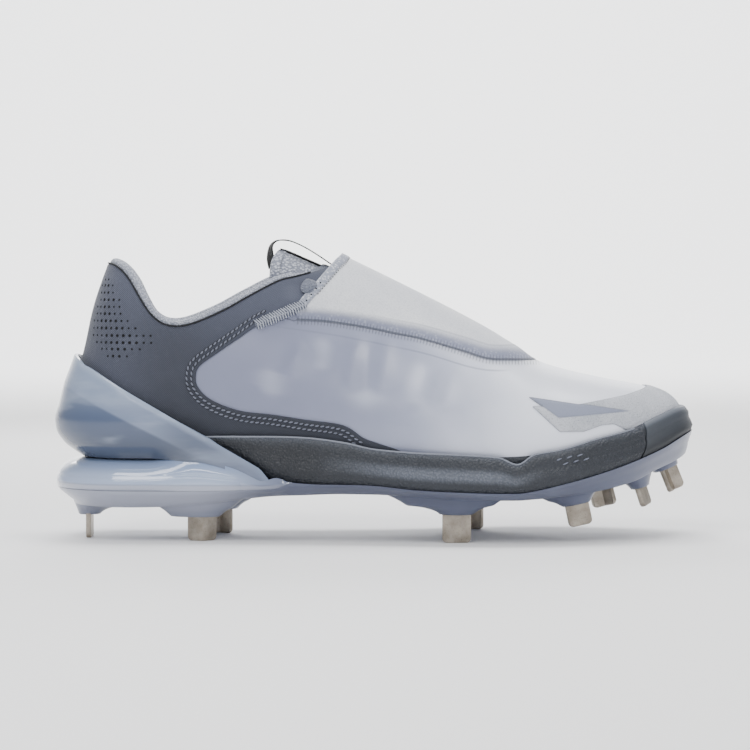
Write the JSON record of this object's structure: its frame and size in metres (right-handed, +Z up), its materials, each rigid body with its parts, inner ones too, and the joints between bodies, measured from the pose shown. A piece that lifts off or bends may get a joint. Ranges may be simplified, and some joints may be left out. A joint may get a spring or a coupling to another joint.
{
  "type": "baseball cleat",
  "caption": "Low baseball cleat with a smooth lace cover over a filmed upper, a moulded heel cup above an air cushion, and a hard plate with metal blade studs",
  "frame": {"origin": "middle of the shoe's bounding box in plan, at the level of the stud tips it stands on", "axes": "+X to the toe, +Y to the inner (medial) side, +Z up"},
  "size_m": [0.3, 0.1038, 0.14],
  "materials": {
    "film": "thin satin film over textile",
    "twill": "fine matt twill",
    "cover": "coated textile, satin",
    "grit": "gritty matt coating",
    "knit": "padded knit",
    "tongue_knit": "padded chunky knit",
    "sock_liner": "flat knit on foam",
    "lace": "ribbed woven lace",
    "webbing": "woven webbing",
    "side_foam": "grained matt foam rubber",
    "bumper": "smooth satin rubber",
    "clip": "tinted translucent moulding",
    "air": "tinted clear film, glossy",
    "plate": "hard tinted moulding, satin",
    "metal": "worn satin steel"
  },
  "bodies": {
    "root": {"upper": "film", "quarter_panel": "twill", "lace_cover": "cover", "toe_overlay": "grit", "collar_lining": "knit", "tongue": "tongue_knit", "insole": "sock_liner", "lace_bar": "lace", "pull_loop": "webbing", "midsole": "side_foam", "toe_bumper": "bumper", "heel_clip": "clip", "air_unit": "air", "plate": "plate", "stud_1": "metal", "stud_2": "metal", "stud_3": "metal", "stud_4": "metal", "stud_5": "metal", "stud_6": "metal", "stud_7": "metal", "stud_8": "metal", "stud_9": "metal"}
  },
  "joints": []
}
